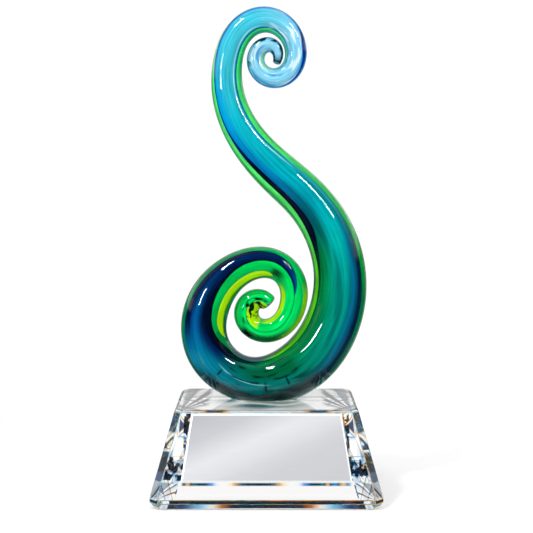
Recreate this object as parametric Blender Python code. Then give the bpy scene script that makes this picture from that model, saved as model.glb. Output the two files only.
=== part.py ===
"""Art glass award: a layered glass rod, coiled into a double scroll, on a clear crystal base.

The scroll stands on a small flat ground into the underside of its big coil, and a film of
clear bonding resin holds it to the base. A blank silver plate for engraving lies on the
base's sloping front face.

Metres, +Z up. The origin is the middle of the base's underside, and the front looks to -Y.
"""
import math

import bmesh
import bpy
from mathutils import Matrix, Vector

# Crystal base: a four-sided block with sloping faces over a short upright foot.
BASE_WIDTH = 0.142
BASE_DEPTH = 0.096
BASE_HEIGHT = 0.058
TOP_WIDTH = 0.113
TOP_DEPTH = 0.067
FOOT_HEIGHT = 0.0064
UNDER_BEVEL_RISE = 0.004
UNDER_BEVEL_INSET = 0.003
TOP_BEVEL = 0.0014
CORNER_CUT = 0.0045

# Engraving plate, set in from the edges of the front face that carries it.
PLATE_THICKNESS = 0.001
PLATE_BORDER = 0.0013
PLATE_BORDER_DROP = 0.0004
PLATE_TOP_MARGIN = 0.0005
PLATE_FOOT_MARGIN = 0.0105
PLATE_SIDE_MARGIN_TOP = 0.0068
PLATE_SIDE_MARGIN_FOOT = 0.0119
PLATE_FILM = 0.0003
PLATE_FILM_INSET = 0.002

# Glass rod at its thickest, and its layers there. All of them thin out with the rod.
ROD_WIDTH = 0.035
CASING_WALL = 0.166 * ROD_WIDTH
VEIL_THICKNESS = 0.091 * ROD_WIDTH
LIME_THICKNESS = 0.037 * ROD_WIDTH
LAYER_GAP = 0.0006

# Where the ground flat of the scroll stands on the base.
FOOT_GRIND = 0.0042
FOOT_OFFSET = -0.0017
BOND_FILM = 0.0003
BOND_INSET = 0.0004
CLEARANCE = 0.0003

# The rod's line, from the tip of the small upper curl to the tip of the big lower one.
# Each station: way along the rod, bend radius there and width there, all in rod widths.
# Bends to the left of the way along are positive, to the right negative.
STATIONS = (
    (0.0, 0.40, 0.15),
    (0.3, 0.16, 0.25),
    (0.7, 0.31, 0.31),
    (1.4, 0.35, 0.36),
    (2.1, 0.65, 0.40),
    (2.9, 0.50, 0.46),
    (3.9, 1.65, 0.52),
    (4.9, 1.90, 0.62),
    (6.2, 6.20, 0.78),
    (6.9, -2.55, 0.83),
    (7.9, -2.15, 0.91),
    (9.4, -2.05, 1.00),
    (10.4, -1.50, 0.99),
    (11.4, -1.03, 0.84),
    (12.4, -0.93, 0.83),
    (13.2, -1.35, 0.80),
    (14.1, -1.15, 0.63),
    (14.9, -0.50, 0.53),
    (15.6, -0.90, 0.49),
    (16.4, -0.39, 0.43),
    (17.0, -0.27, 0.44),
    (17.45, -0.2, 0.31),
)
START_HEADING = math.radians(70)
# Edges of the coloured bands at ways along the rod, as angles in degrees from the front to
# the left of the way along: green to blue, blue to cobalt, cobalt to green.
BAND_EDGES = (
    (0.0, 50.0, -60.0, -75.0),
    (3.0, 46.0, -52.0, -66.0),
    (5.0, 42.0, -34.0, -48.0),
    (7.0, 50.0, -28.0, -46.0),
    (9.0, 50.0, -38.0, -54.0),
    (11.5, 50.0, -42.0, -58.0),
    (13.0, 52.0, 0.0, -18.0),
    (14.3, 48.0, 20.0, 4.0),
    (14.9, 37.0, 20.0, 4.0),
    (15.3, 24.0, 20.0, 8.0),
    (15.6, 15.0, 13.0, 11.0),
    (17.4, 15.0, 13.0, 11.0),
)
JOINT_ANGLE = 5.0
BLUE_END = 14.9
COBALT_END = 15.25
# Width in degrees of the green line beside the lime streak, and of the streak itself.
LIME_STREAK = ((12.3, 8.0, 8.0), (13.0, 11.0, 23.0), (14.3, 28.0, 34.0), (14.8, 34.0, 16.0))
GROOVE_ROOM = 0.0007
GROOVE_RUNOUT = 0.005
GROOVE_SLOPE_ANGLE = 2.0

RINGS = 76
CASING_SIDES = 18
CORE_SIDES = 14

AWARD = bpy.data.collections.new("art_glass_award")
CUTTERS = bpy.data.collections.new("cutters_and_guides")


def clear_scene():
    for item in list(bpy.data.objects):
        bpy.data.objects.remove(item)
    for group in (AWARD, CUTTERS):
        bpy.context.scene.collection.children.link(group)


def glass(name, color, roughness=0.02):
    """A clear or tinted glass; color is its linear RGB tint."""
    material = bpy.data.materials.new(name)
    material.use_nodes = True
    shader = material.node_tree.nodes["Principled BSDF"]
    shader.inputs["Base Color"].default_value = (*color, 1.0)
    shader.inputs["Roughness"].default_value = roughness
    shader.inputs["IOR"].default_value = 1.52
    shader.inputs["Transmission Weight"].default_value = 1.0
    return material


def metal(name, color, roughness):
    material = bpy.data.materials.new(name)
    material.use_nodes = True
    shader = material.node_tree.nodes["Principled BSDF"]
    shader.inputs["Base Color"].default_value = (*color, 1.0)
    shader.inputs["Metallic"].default_value = 1.0
    shader.inputs["Roughness"].default_value = roughness
    return material


def add_mesh(name, mesh, material=None, group=AWARD):
    item = bpy.data.objects.new(name, mesh)
    if material:
        mesh.materials.append(material)
    group.objects.link(item)
    return item


def as_guide(item):
    """Keep a cutter or a guide out of the finished object."""
    item.hide_render = True
    item.display_type = "WIRE"
    return item


# Crystal base

def side_slope():
    """How far the side faces lean in for each metre of height."""
    return (BASE_WIDTH - TOP_WIDTH) / 2 / (BASE_HEIGHT - FOOT_HEIGHT)


def front_slope():
    return (BASE_DEPTH - TOP_DEPTH) / 2 / (BASE_HEIGHT - FOOT_HEIGHT)


def block_half_size(z):
    """Half the width and half the depth of the sloping block at height z."""
    up = max(z - FOOT_HEIGHT, 0.0)
    return BASE_WIDTH / 2 - up * side_slope(), BASE_DEPTH / 2 - up * front_slope()


def place_corners(vertices, half_width, half_depth, z):
    for vertex in vertices:
        side = math.copysign(half_width, vertex.co.x)
        vertex.co = Vector((side, math.copysign(half_depth, vertex.co.y), z))


def crystal_base():
    """One block of optical crystal, drawn up level by level, with its four corners cut."""
    bm = bmesh.new()
    bmesh.ops.create_cube(bm, size=1.0)
    low = [v for v in bm.verts if v.co.z < 0]
    high = [v for v in bm.verts if v.co.z > 0]
    half_width, half_depth = block_half_size(0.0)
    place_corners(low, half_width - UNDER_BEVEL_INSET, half_depth - UNDER_BEVEL_INSET, 0.0)
    place_corners(high, half_width, half_depth, UNDER_BEVEL_RISE)
    shoulder = BASE_HEIGHT - TOP_BEVEL
    top_half_width, top_half_depth = block_half_size(BASE_HEIGHT)
    levels = (
        (FOOT_HEIGHT, *block_half_size(FOOT_HEIGHT)),
        (shoulder, *block_half_size(shoulder)),
        (BASE_HEIGHT, top_half_width - TOP_BEVEL, top_half_depth - TOP_BEVEL),
    )
    for z, half_width, half_depth in levels:
        top = max(bm.faces, key=lambda face: face.calc_center_median().z)
        grown = bmesh.ops.extrude_face_region(bm, geom=[top])
        bmesh.ops.delete(bm, geom=[top], context="FACES_ONLY")
        raised = [g for g in grown["geom"] if isinstance(g, bmesh.types.BMVert)]
        place_corners(raised, half_width, half_depth, z)
    corners = [e for e in bm.edges if abs(e.verts[0].co.z - e.verts[1].co.z) > 1e-5]
    bmesh.ops.bevel(bm, geom=corners, offset=CORNER_CUT, offset_type="OFFSET", segments=1,
                    affect="EDGES", profile=0.5)
    bmesh.ops.recalc_face_normals(bm, faces=bm.faces)
    mesh = bpy.data.meshes.new("crystal_base")
    bm.to_mesh(mesh)
    bm.free()
    return add_mesh("crystal_base", mesh, glass("optical crystal", (0.97, 0.985, 0.99), 0.0))


# Engraving plate and its film

def plate_half_width(z, top_z, foot_z):
    """Half the plate's width at height z on the front face."""
    share = (z - foot_z) / (top_z - foot_z)
    margin = PLATE_SIDE_MARGIN_FOOT + (PLATE_SIDE_MARGIN_TOP - PLATE_SIDE_MARGIN_FOOT) * share
    return block_half_size(z)[0] - CORNER_CUT - margin


def front_slab(name, stand_off, thickness, inset):
    """A thin tapered slab that lies along the front face, stand_off in front of it."""
    lean = math.atan(front_slope())
    top_z = BASE_HEIGHT - TOP_BEVEL - PLATE_TOP_MARGIN
    foot_z = FOOT_HEIGHT + PLATE_FOOT_MARGIN
    middle_z = (top_z + foot_z) / 2
    half_height = (top_z - foot_z) / 2 / math.cos(lean) - inset
    bm = bmesh.new()
    bmesh.ops.create_cube(bm, size=1.0)
    for vertex in bm.verts:
        z = top_z if vertex.co.z > 0 else foot_z
        half_width = plate_half_width(z, top_z, foot_z) - inset
        front = stand_off + thickness if vertex.co.y < 0 else stand_off
        vertex.co = Vector((math.copysign(half_width, vertex.co.x), -front,
                            math.copysign(half_height, vertex.co.z)))
    mesh = bpy.data.meshes.new(name)
    place = Matrix.Translation((0.0, -block_half_size(middle_z)[1], middle_z))
    return bm, mesh, place @ Matrix.Rotation(-lean, 4, "X")


def engraving_plate():
    """Silver plate whose polished border falls away from the raised blank field."""
    rim = PLATE_THICKNESS - PLATE_BORDER_DROP
    stand_off = PLATE_FILM + 2 * CLEARANCE
    bm, mesh, place = front_slab("engraving_plate", stand_off, rim, 0.0)
    face = min(bm.faces, key=lambda f: f.calc_center_median().y)
    bmesh.ops.inset_region(bm, faces=[face], thickness=PLATE_BORDER, depth=PLATE_BORDER_DROP)
    bmesh.ops.recalc_face_normals(bm, faces=bm.faces)
    bm.to_mesh(mesh)
    bm.free()
    plate = add_mesh("engraving_plate", mesh, metal("satin silver", (0.80, 0.81, 0.83), 0.3))
    plate.matrix_world = place
    return plate


def plate_film():
    """Clear double-sided film that holds the plate."""
    bm, mesh, place = front_slab("plate_film", CLEARANCE, PLATE_FILM, PLATE_FILM_INSET)
    bmesh.ops.recalc_face_normals(bm, faces=bm.faces)
    bm.to_mesh(mesh)
    bm.free()
    film = add_mesh("plate_film", mesh, glass("clear film", (0.95, 0.95, 0.95), 0.2))
    film.matrix_world = place
    return film


# The rod's line

def smooth(stations, way, column):
    """A value between stations, eased so that it has no kinks at them."""
    spots = [s[0] for s in stations]
    values = [s[column] for s in stations]
    last = len(spots) - 1
    if way <= spots[0]:
        return values[0]
    if way >= spots[-1]:
        return values[-1]
    i = max(k for k in range(last) if spots[k] <= way)

    def rise(k):
        before, after = max(k - 1, 0), min(k + 1, last)
        return (values[after] - values[before]) / (spots[after] - spots[before])

    span = spots[i + 1] - spots[i]
    t = (way - spots[i]) / span
    return (values[i] * (1 + 2 * t) * (1 - t) ** 2 + values[i + 1] * t * t * (3 - 2 * t)
            + span * t * (1 - t) * (rise(i) * (1 - t) - rise(i + 1) * t))


def bend_at(way):
    """Turn of the rod, in radians for each rod width of its length."""
    for (start, radius, _), (end, next_radius, _) in zip(STATIONS, STATIONS[1:]):
        if way <= end:
            share = (way - start) / (end - start)
            return (1 - share) / radius + share / next_radius
    return 1 / STATIONS[-1][1]


def rod_line():
    """Points along the rod: (way, x, z, heading, half width), with the foot on the base."""
    length = STATIONS[-1][0]
    steps = 1800
    step = length / steps
    x, z, heading, way = 0.0, 0.0, START_HEADING, 0.0
    fine = []
    for _ in range(steps + 1):
        fine.append((way, x * ROD_WIDTH, z * ROD_WIDTH, heading,
                     smooth(STATIONS, way, 2) * ROD_WIDTH / 2))
        turn = bend_at(way + step / 2) * step
        x += math.cos(heading + turn / 2) * step
        z += math.sin(heading + turn / 2) * step
        heading += turn
        way += step
    lowest = min(fine, key=lambda p: p[2] - p[4])
    move_x = FOOT_OFFSET - lowest[1]
    move_z = foot_level() - FOOT_GRIND - (lowest[2] - lowest[4])
    fine = [(p[0], p[1] + move_x, p[2] + move_z, p[3], p[4]) for p in fine]
    # Rings stand closer together where the rod bends more.
    effort = [0.0]
    for before, after in zip(fine, fine[1:]):
        effort.append(effort[-1] + (after[0] - before[0]) * 0.12 + abs(after[3] - before[3]) * 0.14)
    line, k = [], 0
    for ring in range(RINGS):
        goal = effort[-1] * ring / (RINGS - 1)
        while k < len(fine) - 1 and effort[k] < goal - 1e-9:
            k += 1
        line.append(fine[k])
    return line


def foot_level():
    """Height of the flat that is ground into the underside of the scroll."""
    return BASE_HEIGHT + BOND_FILM + 2 * CLEARANCE


def with_rings(line, ways):
    """The line with one more ring at each of these ways, in place of any that is very near."""
    rings = [ring for ring in line if all(abs(ring[0] - way) > 0.03 for way in ways)]
    for way in ways:
        k = max(i for i in range(len(line) - 1) if line[i][0] <= way)
        share = (way - line[k][0]) / (line[k + 1][0] - line[k][0])
        rings.append(tuple(a + (b - a) * share for a, b in zip(line[k], line[k + 1])))
    return sorted(rings)


def round_rod(name, line, width, sides, overrun=0.0):
    """A round rod along the line, as a closed mesh.

    Its width is what it would be where the glass rod is thickest. A curve draws it in a
    plane of its own, which then stands upright, and a guide gives it its sides.
    """
    curve = bpy.data.curves.new(name, "CURVE")
    curve.dimensions = "3D"
    curve.twist_mode = "Z_UP"
    curve.use_fill_caps = True
    curve.bevel_mode = "OBJECT"
    curve.bevel_object = circle_guide(name + "_outline", width / 2, sides)
    points = [(ring[1], ring[2], ring[4] / (ROD_WIDTH / 2)) for ring in line]
    if overrun:
        for place, ring, way in ((0, line[0], -overrun), (len(points) + 1, line[-1], overrun)):
            points.insert(place, (ring[1] + way * math.cos(ring[3]),
                                  ring[2] + way * math.sin(ring[3]), ring[4] / (ROD_WIDTH / 2)))
    spline = curve.splines.new("POLY")
    spline.points.add(len(points) - 1)
    for spot, (x, z, share) in zip(spline.points, points):
        spot.co = (x, z, 0.0, 1.0)
        spot.radius = share
    drawn = bpy.data.objects.new(name + "_line", curve)
    drawn.rotation_euler = (math.pi / 2, 0.0, 0.0)
    CUTTERS.objects.link(drawn)
    bpy.context.view_layer.update()
    graph = bpy.context.evaluated_depsgraph_get()
    mesh = bpy.data.meshes.new_from_object(drawn.evaluated_get(graph))
    place = drawn.matrix_world.copy()
    bpy.data.objects.remove(drawn)
    bm = bmesh.new()
    bm.from_mesh(mesh)
    bmesh.ops.remove_doubles(bm, verts=bm.verts, dist=1e-6)
    bmesh.ops.recalc_face_normals(bm, faces=bm.faces)
    bm.to_mesh(mesh)
    bm.free()
    rod = bpy.data.objects.new(name, mesh)
    rod.matrix_world = place
    return rod


def circle_guide(name, radius, sides):
    """Round section, as a guide that a curve takes its shape from."""
    outline = bpy.data.curves.new(name, "CURVE")
    outline.dimensions = "2D"
    spline = outline.splines.new("POLY")
    spline.points.add(sides - 1)
    for k, spot in enumerate(spline.points):
        turn = math.tau * k / sides
        spot.co = (radius * math.cos(turn), radius * math.sin(turn), 0.0, 1.0)
    spline.use_cyclic_u = True
    item = bpy.data.objects.new(name, outline)
    CUTTERS.objects.link(item)
    return as_guide(item)


def loft(name, line, section):
    """Join the sections of a band, which change along the line, into one closed mesh.

    section(way) gives the outline of the band there, as points (angle, radius) along its
    outer side and back along its inner side. An angle is in degrees from the front to the
    left of the way along. A radius is what it would be where the rod is thickest.
    """
    bm = bmesh.new()
    front = Vector((0.0, -1.0, 0.0))
    rings = []
    for way, x, z, heading, half_width in line:
        left = Vector((-math.sin(heading), 0.0, math.cos(heading)))
        share = half_width / (ROD_WIDTH / 2)
        ring = []
        for angle, radius in section(way):
            turn = math.radians(angle)
            reach = math.cos(turn) * front + math.sin(turn) * left
            ring.append(bm.verts.new(Vector((x, 0.0, z)) + share * radius * reach))
        rings.append(ring)
    count = len(rings[0])
    for before, after in zip(rings, rings[1:]):
        for i in range(count):
            j = (i + 1) % count
            bm.faces.new((before[i], before[j], after[j], after[i]))
    for ring in (rings[0], rings[-1]):
        for i in range(count // 2 - 1):
            bm.faces.new((ring[i], ring[i + 1], ring[-2 - i], ring[-1 - i]))
    bmesh.ops.recalc_face_normals(bm, faces=bm.faces)
    mesh = bpy.data.meshes.new(name)
    bm.to_mesh(mesh)
    bm.free()
    return add_mesh(name, mesh)


# Glass layers

def layer_radii():
    """Radii at the rod's thickest: casing's bore, veils outside, veils inside, core."""
    bore = ROD_WIDTH / 2 - CASING_WALL
    veil_outside = bore - LAYER_GAP
    veil_inside = veil_outside - VEIL_THICKNESS
    return bore, veil_outside, veil_inside, veil_inside - LAYER_GAP


def cut_away(item, cutter, name):
    cut = item.modifiers.new(name, "BOOLEAN")
    cut.operation = "DIFFERENCE"
    cut.solver = "EXACT"
    cut.object = cutter


def clear_casing(line):
    """Last gather of clear glass, a long hollow skin that stays open at the sheared tips."""
    casing = round_rod("clear_casing", line, ROD_WIDTH, CASING_SIDES)
    AWARD.objects.link(casing)
    bore = round_rod("casing_bore", line, 2 * layer_radii()[0], CORE_SIDES, overrun=0.002)
    CUTTERS.objects.link(as_guide(bore))
    cut_away(casing, bore, "bore")
    bpy.ops.mesh.primitive_cube_add(size=1.0)
    grinder = bpy.context.active_object
    grinder.name = "foot_grinder"
    for group in list(grinder.users_collection):
        group.objects.unlink(grinder)
    CUTTERS.objects.link(grinder)
    grinder.scale = (3 * ROD_WIDTH, 2 * ROD_WIDTH, 2 * FOOT_GRIND)
    grinder.location = (FOOT_OFFSET, 0.0, foot_level() - FOOT_GRIND)
    cut_away(casing, as_guide(grinder), "ground foot")
    casing.data.materials.append(glass("clear glass", (0.93, 0.97, 0.98)))
    casing.data.shade_smooth()
    return casing


def glass_core(line):
    """Teal and blue heart of the rod."""
    core = round_rod("glass_core", line, 2 * layer_radii()[3], CORE_SIDES)
    AWARD.objects.link(core)
    core.data.materials.append(glass("teal glass", (0.0, 0.36, 0.50)))
    core.data.shade_smooth()
    return core


def band_edges(way):
    """Angles where green turns to blue, blue to cobalt and cobalt to green again."""
    return [smooth(BAND_EDGES, way, column) for column in (1, 2, 3)]


def arc(start, end, radius, steps):
    return [(start + (end - start) * k / steps, radius) for k in range(steps + 1)]


def blue_section(way):
    _, outside, inside, _ = layer_radii()
    left, joint, _ = band_edges(way)
    start, end = joint + JOINT_ANGLE / 2, left - JOINT_ANGLE / 2
    return arc(start, end, outside, 4) + arc(end, start, inside, 4)


def cobalt_section(way):
    _, outside, inside, _ = layer_radii()
    _, joint, right = band_edges(way)
    start, end = right + JOINT_ANGLE / 2, joint - JOINT_ANGLE / 2
    return arc(start, end, outside, 2) + arc(end, start, inside, 2)


def lime_groove(way):
    """Angles of the sides of the groove in the green veil that the lime streak lies in."""
    green_line, lime = (smooth(LIME_STREAK, way, column) for column in (1, 2))
    near = band_edges(way)[2] + 360 - JOINT_ANGLE / 2 - green_line
    return near - lime - 2 * JOINT_ANGLE, near


def groove_depth(way):
    """Full as far as the lime streak goes, and run out to nothing past its ends."""
    past = max(LIME_STREAK[0][0] - way, way - LIME_STREAK[-1][0], 0.0) * ROD_WIDTH
    share = min(max(1 - (past - GROOVE_ROOM) / GROOVE_RUNOUT, 0.0), 1.0)
    return share * (LIME_THICKNESS + LAYER_GAP)


def green_section(way):
    """All the way round the back, from the blue veil to the cobalt streak."""
    _, outside, inside, _ = layer_radii()
    left, _, right = band_edges(way)
    far, near = lime_groove(way)
    floor = arc(far + GROOVE_SLOPE_ANGLE, near - GROOVE_SLOPE_ANGLE,
                outside - groove_depth(way), 2)
    outer = (arc(left + JOINT_ANGLE / 2, far, outside, 8) + floor
             + arc(near, right + 360 - JOINT_ANGLE / 2, outside, 1))
    return outer + [(angle, inside) for angle, _ in reversed(outer)]


def lime_section(way):
    outside = layer_radii()[1]
    far, near = lime_groove(way)
    start, end = far + JOINT_ANGLE, near - JOINT_ANGLE
    return arc(start, end, outside, 2) + arc(end, start, outside - LIME_THICKNESS, 2)


def colour_band(name, line, section, start, end, color):
    """A band from one way along the rod to another."""
    rings = [ring for ring in with_rings(line, (start, end)) if start <= ring[0] <= end]
    band = loft(name, rings, section)
    band.data.materials.append(glass(name.replace("_", " "), color))
    band.data.shade_smooth()
    band.data.set_sharp_from_angle(angle=math.radians(40))
    return band


def colour_bands(line):
    """Bands that share out the ring round the core. Blue, cobalt and lime end in the coil."""
    start, end = line[0][0], line[-1][0]
    lime_start, lime_end = LIME_STREAK[0][0], LIME_STREAK[-1][0]
    room = GROOVE_ROOM / ROD_WIDTH
    runout = room + GROOVE_RUNOUT / ROD_WIDTH
    grooved = with_rings(line, (lime_start - runout, lime_start - room,
                                lime_end + room, lime_end + runout))
    colour_band("blue_veil", line, blue_section, start, BLUE_END, (0.01, 0.22, 0.62))
    colour_band("cobalt_streak", line, cobalt_section, start, COBALT_END, (0.0, 0.01, 0.10))
    colour_band("lime_streak", line, lime_section, lime_start, lime_end, (0.35, 0.80, 0.08))
    colour_band("green_veil", grooved, green_section, start, end, (0.0, 0.50, 0.16))


def foot_bond(line):
    """Film of clear resin under the ground flat, as long and as deep as the flat."""
    lowest = min(line, key=lambda p: p[2] - p[4])
    coil = abs(ROD_WIDTH / bend_at(lowest[0])) + lowest[4]
    half_length = math.sqrt(2 * coil * FOOT_GRIND) - BOND_INSET
    half_depth = math.sqrt(2 * lowest[4] * FOOT_GRIND) - BOND_INSET
    bpy.ops.mesh.primitive_cylinder_add(vertices=32, radius=1.0, depth=BOND_FILM)
    bond = bpy.context.active_object
    bond.name = "foot_bond"
    for group in list(bond.users_collection):
        group.objects.unlink(bond)
    AWARD.objects.link(bond)
    bond.data.transform(Matrix.Diagonal((half_length, half_depth, 1.0, 1.0)))
    bond.location = (FOOT_OFFSET, 0.0, BASE_HEIGHT + CLEARANCE + BOND_FILM / 2)
    bond.data.materials.append(glass("bonding resin", (0.95, 0.97, 0.97)))
    return bond


def build():
    clear_scene()
    crystal_base()
    engraving_plate()
    plate_film()
    line = rod_line()
    clear_casing(line)
    glass_core(line)
    colour_bands(line)
    foot_bond(line)


build()
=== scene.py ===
"""Looks of the art glass award: a layered glass rod curled into a double scroll, on a crystal base."""
import math

import bmesh
import bpy
import numpy as np
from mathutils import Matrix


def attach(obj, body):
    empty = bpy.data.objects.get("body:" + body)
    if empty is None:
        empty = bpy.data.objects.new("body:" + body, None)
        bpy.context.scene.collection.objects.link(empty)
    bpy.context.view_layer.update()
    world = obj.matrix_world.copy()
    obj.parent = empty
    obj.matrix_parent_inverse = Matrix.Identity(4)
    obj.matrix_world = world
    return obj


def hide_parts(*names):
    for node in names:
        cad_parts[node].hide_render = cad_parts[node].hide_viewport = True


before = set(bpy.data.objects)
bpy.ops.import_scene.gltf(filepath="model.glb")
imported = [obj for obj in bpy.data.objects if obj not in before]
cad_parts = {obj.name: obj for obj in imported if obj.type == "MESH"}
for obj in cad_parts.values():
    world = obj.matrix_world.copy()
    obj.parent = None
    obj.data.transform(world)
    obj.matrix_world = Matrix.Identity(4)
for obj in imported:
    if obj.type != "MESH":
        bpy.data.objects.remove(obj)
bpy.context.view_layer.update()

# Clear casing. The real one is the last gather of clear glass over the coloured rod, drawn
# out and curled hot, then ground flat underneath where it stands on the base.

ROD_WIDTH = 0.035
# Way along the rod, bend radius and width there, in rod widths. Right-hand bends are negative.
STATIONS = np.array((
    (0.0, 0.40, 0.15),
    (0.3, 0.16, 0.25),
    (0.7, 0.31, 0.31),
    (1.4, 0.35, 0.36),
    (2.1, 0.65, 0.40),
    (2.9, 0.50, 0.46),
    (3.9, 1.65, 0.52),
    (4.9, 1.90, 0.62),
    (6.2, 6.20, 0.78),
    (6.9, -2.55, 0.83),
    (7.9, -2.15, 0.91),
    (9.4, -2.05, 1.00),
    (10.4, -1.50, 0.99),
    (11.4, -1.03, 0.84),
    (12.4, -0.93, 0.83),
    (13.2, -1.35, 0.80),
    (14.1, -1.15, 0.63),
    (14.9, -0.50, 0.53),
    (15.6, -0.90, 0.49),
    (16.4, -0.39, 0.43),
    (17.0, -0.27, 0.44),
    (17.45, -0.2, 0.31),
))
START_HEADING = math.radians(70)
LENGTH = STATIONS[-1, 0]
FOOT_LEVEL = 0.0589
FOOT_GRIND = 0.0042
FOOT_OFFSET = -0.0017
# The way along is kept on the meshes as a share of this span.
WAY_SPAN = 18.0
LINE_STEPS = 4000
CAP_ROWS, CASING_ROWS, CASING_SIDES = 8, 820, 72
# How far the rounded ends stand out past the two tips, in half widths there.
START_CAP, END_CAP = 0.55, 0.35
GLASS_IOR = 1.5


def eased(table, ways):
    """Each column of the table between its rows, as the cubic through both rows whose slope at
    a row is that of the line between the row's two neighbours."""
    table = np.asarray(table, float)
    spots, values = table[:, 0], table[:, 1:]
    last = len(spots) - 1
    after, before = np.minimum(np.arange(last + 1) + 1, last), np.maximum(np.arange(last + 1) - 1, 0)
    slopes = (values[after] - values[before]) / (spots[after] - spots[before])[:, None]
    ways = np.clip(ways, spots[0], spots[-1])
    i = np.clip(np.searchsorted(spots, ways, side="right") - 1, 0, last - 1)
    span = (spots[i + 1] - spots[i])[:, None]
    t = (ways - spots[i])[:, None] / span
    return (values[i] * (1 + 2 * t) * (1 - t) ** 2 + values[i + 1] * t * t * (3 - 2 * t)
            + span * t * (1 - t) * (slopes[i] * (1 - t) - slopes[i + 1] * t))


def rod_line():
    """Way, x, z, heading and half width in small steps. The heading is the sum of the turns,
    each the step over the bend radius, and the place is the sum of the steps along it."""
    ways = np.linspace(0.0, LENGTH, LINE_STEPS + 1)
    step = ways[1]
    turns = np.interp(ways[:-1] + step / 2, STATIONS[:, 0], 1 / STATIONS[:, 1]) * step
    heading = START_HEADING + np.concatenate(([0.0], np.cumsum(turns)))
    middle = heading[:-1] + turns / 2
    x = np.concatenate(([0.0], np.cumsum(np.cos(middle)))) * step * ROD_WIDTH
    z = np.concatenate(([0.0], np.cumsum(np.sin(middle)))) * step * ROD_WIDTH
    half = eased(STATIONS, ways)[:, 1] * ROD_WIDTH / 2
    lowest = np.argmin(z - half)
    x += FOOT_OFFSET - x[lowest]
    z += FOOT_LEVEL - FOOT_GRIND - (z - half)[lowest]
    return ways, x, z, heading, half


LINE = rod_line()


def along_rod(ways, angles, radii, push=0.0):
    """Points at each way and angle: the rod's middle there, plus the radius along the turned
    direction, which is the front at 0 degrees and the left of the way along at 90."""
    x, z, heading, half = (np.interp(ways, LINE[0], column)[:, None] for column in LINE[1:])
    turn = np.radians(angles)
    reach = radii * half
    side = np.sin(turn) * reach
    points = np.empty(side.shape + (3,))
    points[..., 0] = x - side * np.sin(heading) + push * np.cos(heading)
    points[..., 1] = -np.cos(turn) * reach
    points[..., 2] = z + side * np.cos(heading) + push * np.sin(heading)
    return points


def placed(name, data):
    """A new object in the scene, with this data."""
    item = bpy.data.objects.new(name, data)
    bpy.context.scene.collection.objects.link(item)
    return item


def tube(name, points):
    """A closed mesh whose rings are the grid's rows, joined all the way round, with a flat cap
    over the first and the last ring, or a point where a ring has no width."""
    rows, sides = points.shape[:2]
    k = np.arange(rows - 1)[:, None] * sides
    i = np.arange(sides)[None]
    j = (i + 1) % sides
    quads = np.stack(np.broadcast_arrays(k + i, k + sides + i, k + sides + j, k + j), -1)
    faces = quads.reshape(-1, 4).tolist()
    faces.append(list(range(sides)))
    faces.append(list(range(rows * sides - 1, (rows - 1) * sides - 1, -1)))
    mesh = bpy.data.meshes.new(name)
    mesh.from_pydata(points.reshape(-1, 3), (), faces)
    mesh.shade_smooth()
    return placed(name, mesh)


def merged(piece):
    """Join the points of the piece that lie on each other, which closes its ends."""
    shape = bmesh.new()
    shape.from_mesh(piece.data)
    bmesh.ops.remove_doubles(shape, verts=shape.verts[:], dist=1e-7)
    shape.to_mesh(piece.data)
    shape.free()
    return piece


def attribute(piece, name, values):
    """Keep a number at each point of the piece's mesh, for its material to read."""
    layer = piece.data.attributes.new(name, "FLOAT", "POINT")
    layer.data.foreach_set("value", np.ascontiguousarray(values, np.float32).ravel())


def principled(name, **inputs):
    """A material with one Principled shader, and its node tree and shader."""
    material = bpy.data.materials.new(name)
    material.use_nodes = True
    tree = material.node_tree
    shader = tree.nodes["Principled BSDF"]
    for key, value in inputs.items():
        shader.inputs[key.replace("_", " ")].default_value = value
    return material, tree, shader


def linear(colour):
    """Linear light values of a colour given as the eye sees it, from 0 to 255."""
    c = np.asarray(colour, float) / 255
    c = np.where(c <= 0.04045, c / 12.92, ((c + 0.055) / 1.055) ** 2.4)
    return (*c, 1.0)


def read(tree, name):
    """A number that is kept on the mesh."""
    node = tree.nodes.new("ShaderNodeAttribute")
    node.attribute_name = name
    return node.outputs["Fac"]


def ramp(tree, fac, stops, scale=1.0):
    """Colours by a factor from 0 to 1, from pairs of place and colour. A place is divided by
    the scale."""
    node = tree.nodes.new("ShaderNodeValToRGB")
    tree.links.new(fac, node.inputs["Fac"])
    elements = node.color_ramp.elements
    while len(elements) < len(stops):
        elements.new(1.0)
    for element, (spot, colour) in zip(elements, stops):
        element.position = spot / scale
        element.color = linear(colour)
    return node.outputs["Color"]


def way_ramp(tree, stops):
    """Colours along the rod, from pairs of way along and colour."""
    return ramp(tree, read(tree, "way"), stops, WAY_SPAN)


def math_node(tree, operation, a, b=0.0, c=0.0):
    node = tree.nodes.new("ShaderNodeMath")
    node.operation = operation
    for socket, value in zip(node.inputs, (a, b, c)):
        if isinstance(value, (int, float)):
            socket.default_value = value
        else:
            tree.links.new(value, socket)
    return node.outputs[0]


def times(tree, *factors):
    """The product of these."""
    product = factors[0]
    for factor in factors[1:]:
        product = math_node(tree, "MULTIPLY", product, factor)
    return product


def scaled(tree, value, gain, offset):
    """The value times the gain, plus the offset."""
    return math_node(tree, "MULTIPLY_ADD", value, gain, offset)


def band(tree, value, low, high, smooth=True):
    """0 at low and 1 at high, eased between."""
    node = tree.nodes.new("ShaderNodeMapRange")
    node.interpolation_type = "SMOOTHSTEP" if smooth else "LINEAR"
    tree.links.new(value, node.inputs["Value"])
    node.inputs["From Min"].default_value = low
    node.inputs["From Max"].default_value = high
    return node.outputs["Result"]


def between(tree, value, rise, full, fade, gone):
    """1 from full to fade, and 0 below rise and above gone, eased between."""
    return times(tree, band(tree, value, rise, full), band(tree, value, gone, fade))


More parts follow.
